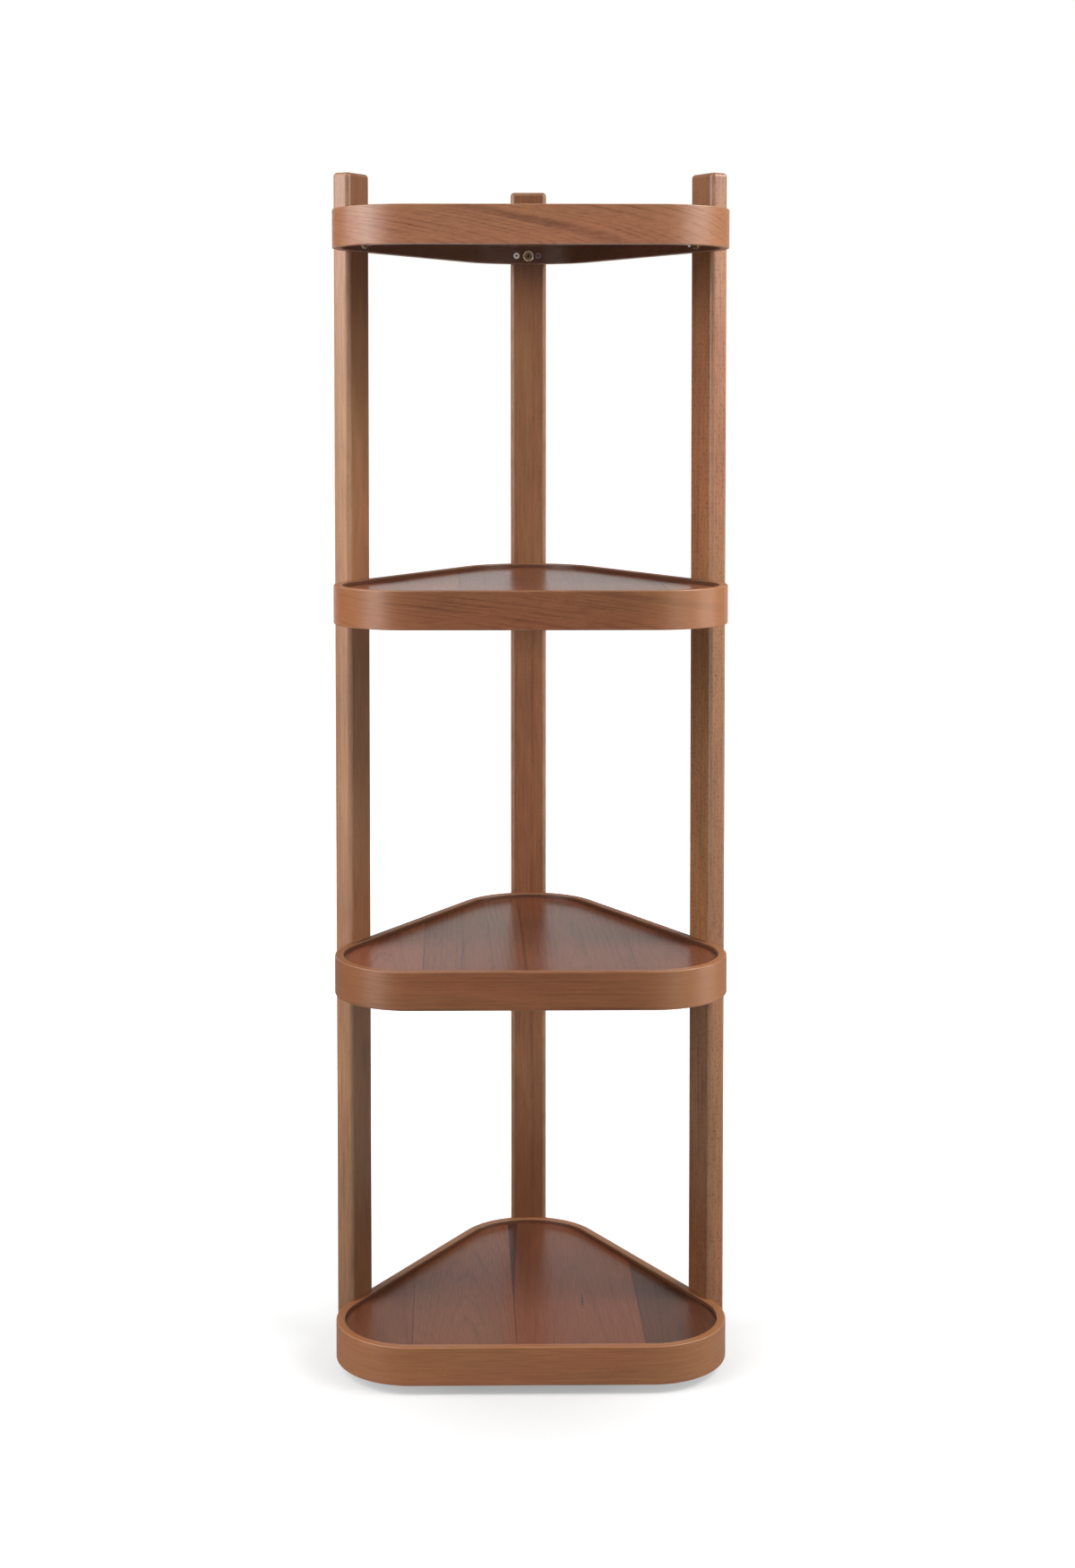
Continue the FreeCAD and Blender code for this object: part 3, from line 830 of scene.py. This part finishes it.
def copy_to(master, name, matrix):
    piece = master.copy()
    piece.data = master.data.copy()
    piece.name = name
    bpy.context.collection.objects.link(piece)
    place(piece, matrix)
    return piece


bpy.ops.mesh.primitive_cylinder_add(
    vertices=48, radius=BOLT_HEAD_RADIUS, depth=BOLT_HEAD_HEIGHT, location=(0, 0, BOLT_HEAD_HEIGHT / 2)
)
bpy.ops.object.transform_apply()
bolt = bpy.context.object
start_shaping(bolt)
pick("faces", lambda face: face.normal.z > 0.9)
bpy.ops.mesh.inset(thickness=BOLT_HEAD_RADIUS - BOLT_FACE_RADIUS)
bpy.ops.mesh.extrude_region_move(TRANSFORM_OT_translate={"value": (0, 0, -BOLT_FACE_SINK)})
pick("faces", lambda face: face.normal.z < -0.9)
bpy.ops.mesh.inset(thickness=BOLT_HEAD_RADIUS - BOLT_SHANK_RADIUS)
bpy.ops.mesh.extrude_region_move(TRANSFORM_OT_translate={"value": (0, 0, -BOLT_LENGTH)})
pick("edges", lambda edge: at_level(edge, BOLT_HEAD_HEIGHT) and is_square(edge))
bpy.ops.mesh.bevel(offset=BOLT_EDGE_ROUND, segments=3, affect="EDGES")
pick("edges", lambda edge: at_level(edge, -BOLT_LENGTH))
bpy.ops.mesh.bevel(offset=BOLT_TIP_BEVEL, segments=1, affect="EDGES")
bpy.ops.object.mode_set(mode="OBJECT")
bpy.ops.mesh.primitive_cylinder_add(
    vertices=6,
    radius=HEX_KEY / 2 / math.cos(math.pi / 6),
    depth=2 * HEX_DEPTH,
    location=(0, 0, BOLT_HEAD_HEIGHT),
)
bpy.ops.object.transform_apply()
cut(bolt, bpy.context.object)
start_shaping(bolt)
finish_shaping()
RUBBED_FROM = BOLT_FACE_RADIUS + 0.0003
mark(bolt, "worn", "POINT", [float(vert.co.xy.length > RUBBED_FROM) for vert in bolt.data.vertices])

BRASS_TONE = (0.90, 0.72, 0.46)
TARNISH_TONE = (0.16, 0.11, 0.08)
# How much tarnish is left in the sunk face, and on the rubbed ring round it
TARNISH_LEFT = (1.5, 0.45)
BRASS_ROUGHNESS = (0.22, 0.50)
brass, tree, metal = new_finish("antique_brass")
worn = add_node(tree, "Attribute", {}, attribute_name="worn").outputs["Fac"]
patina = reckon(tree, "MULTIPLY", speckle(tree, 420, 4, 0.6), rescale(tree, worn, 0, 1, *TARNISH_LEFT))
metal.inputs["Metallic"].default_value = 1
tree.links.new(blend(tree, patina, BRASS_TONE, TARNISH_TONE), metal.inputs["Base Color"])
tree.links.new(rescale(tree, patina, 0, 1, *BRASS_ROUGHNESS), metal.inputs["Roughness"])
bolt.data.materials.append(brass)
for tray in TRAYS:
    for side in SIDES:
        piece = copy_to(bolt, f"bolt_{tray}_{side}", wall_frame(tray, side, 0))
        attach(piece, "root")
        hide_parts(f"bolts_{tray}")
bpy.data.objects.remove(bolt)


# Inserts. A turned brass sleeve, threaded inside, is set into the post behind
# every bolt. They are hidden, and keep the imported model's plain turned shape.
turned_brass, tree, metal = new_finish("turned_brass")
metal.inputs["Base Color"].default_value = (0.60, 0.45, 0.20, 1)
metal.inputs["Metallic"].default_value = 1
metal.inputs["Roughness"].default_value = 0.4
for tray in TRAYS:
    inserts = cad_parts[f"inserts_{tray}"]
    inserts.data.materials.clear()
    inserts.data.materials.append(turned_brass)


# Wood screws. One countersunk cross-head screw stands each side of every bolt
# and holds the rim to the post. The left one is bright zinc; the right one is the same zinc made darker and
# duller, as painted shade.
SCREW_OFFSETS = {"zinc": -0.015, "dull": 0.0125}
SCREW_HEAD_RADIUS = 0.00405
SCREW_SHANK_RADIUS = 0.002
SCREW_LENGTH = 0.025
SCREW_PROUD = 0.0002
SCREW_EDGE_ROUND = 0.0002
CROSS_LENGTH = 0.0046
CROSS_WIDTH = 0.0014
CROSS_DEPTH = 0.0019
CROSS_TAPER = 0.4
sink = SCREW_HEAD_RADIUS - SCREW_SHANK_RADIUS
bpy.ops.mesh.primitive_cone_add(
    vertices=32,
    radius1=SCREW_SHANK_RADIUS,
    radius2=SCREW_HEAD_RADIUS,
    depth=sink,
    location=(0, 0, SCREW_PROUD - sink / 2),
)
bpy.ops.object.transform_apply()
screw = bpy.context.object
start_shaping(screw)
pick("faces", lambda face: face.normal.z < -0.9)
bpy.ops.mesh.extrude_region_move(TRANSFORM_OT_translate={"value": (0, 0, sink - SCREW_LENGTH)})
pick("edges", lambda edge: at_level(edge, SCREW_PROUD))
bpy.ops.mesh.bevel(offset=SCREW_EDGE_ROUND, segments=2, affect="EDGES")
bpy.ops.object.mode_set(mode="OBJECT")
narrow = CROSS_WIDTH / CROSS_LENGTH
for turn, squeeze in ((0, (1, narrow, 1, 1)), (90, (narrow, 1, 1, 1))):
    bpy.ops.mesh.primitive_cone_add(
        vertices=4,
        radius1=CROSS_TAPER * CROSS_LENGTH,
        radius2=CROSS_LENGTH / 2 * math.sqrt(2),
        depth=2 * CROSS_DEPTH,
        location=(0, 0, SCREW_PROUD),
        rotation=(0, 0, math.radians(45 + turn)),
    )
    blade = bpy.context.object
    bpy.ops.object.transform_apply()
    blade.data.transform(Matrix.Diagonal(squeeze))
    cut(screw, blade)
start_shaping(screw)
finish_shaping()
mark(screw, "worn", "POINT", [float(vert.co.z > -SCREW_PROUD) for vert in screw.data.vertices])

CROSS_DARK_TONE = (0.02, 0.017, 0.017)


def plate_screw(name, colour, roughness, metallic):
    """The plating shows on the head, and the cross below it is near black."""
    plating, tree, metal = new_finish(name)
    level = rescale(tree, speckle(tree, 900, 3), 0, 1, roughness - 0.08, roughness + 0.08)
    on_head = add_node(tree, "Attribute", {}, attribute_name="worn").outputs["Fac"]
    metal.inputs["Metallic"].default_value = metallic
    tree.links.new(blend(tree, on_head, CROSS_DARK_TONE, colour), metal.inputs["Base Color"])
    tree.links.new(level, metal.inputs["Roughness"])
    return plating


platings = {
    "zinc": plate_screw("bright_zinc", (0.95, 0.95, 0.94), 0.30, 0.2),
    # The same zinc, darker and duller, as painted shade on the right screws
    "dull": plate_screw("zinc_in_painted_shade", (0.30, 0.26, 0.28), 0.42, 1.0),
}
for tray in TRAYS:
    for side in SIDES:
        for finish, offset in SCREW_OFFSETS.items():
            piece = copy_to(screw, f"screw_{tray}_{side}_{finish}", wall_frame(tray, side, offset))
            piece.data.materials.append(platings[finish])
            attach(piece, "root")
bpy.data.objects.remove(screw)


# Glides. A dark nylon disc under each post, with a rounded rim and a pin up
# into the end grain, keeps the bookcase off the floor.
GLIDE_EDGE_ROUND = 0.0008
GLIDE_PIN_RADIUS = 0.0015
GLIDE_THICKNESS = 0.003
nylon, tree, plastic = new_finish("brown_nylon")
relief = add_node(tree, "Bump", {"Height": speckle(tree, 1500, 2), "Strength": 0.3, "Distance": 0.0001})
plastic.inputs["Base Color"].default_value = (0.035, 0.022, 0.016, 1)
plastic.inputs["Roughness"].default_value = 0.5
tree.links.new(relief.outputs["Normal"], plastic.inputs["Normal"])
for side in SIDES:
    low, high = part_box(f"glide_{side}")
    middle = (low + high) / 2
    radius = (high.x - low.x) / 2
    bpy.ops.mesh.primitive_cylinder_add(
        vertices=48, radius=radius, depth=GLIDE_THICKNESS, location=(middle.x, middle.y, GLIDE_THICKNESS / 2)
    )
    bpy.ops.object.transform_apply()
    glide = bpy.context.object
    glide.name = f"nylon_glide_{side}"
    start_shaping(glide)
    pick("faces", lambda face: face.normal.z > 0.9)
    bpy.ops.mesh.inset(thickness=radius - GLIDE_PIN_RADIUS)
    bpy.ops.mesh.extrude_region_move(TRANSFORM_OT_translate={"value": (0, 0, high.z - GLIDE_THICKNESS)})
    pick("edges", lambda edge: at_level(edge, 0))
    bpy.ops.mesh.bevel(offset=GLIDE_EDGE_ROUND, segments=3, affect="EDGES")
    finish_shaping()
    glide.data.materials.append(nylon)
    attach(glide, "root")
    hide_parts(f"glide_{side}")
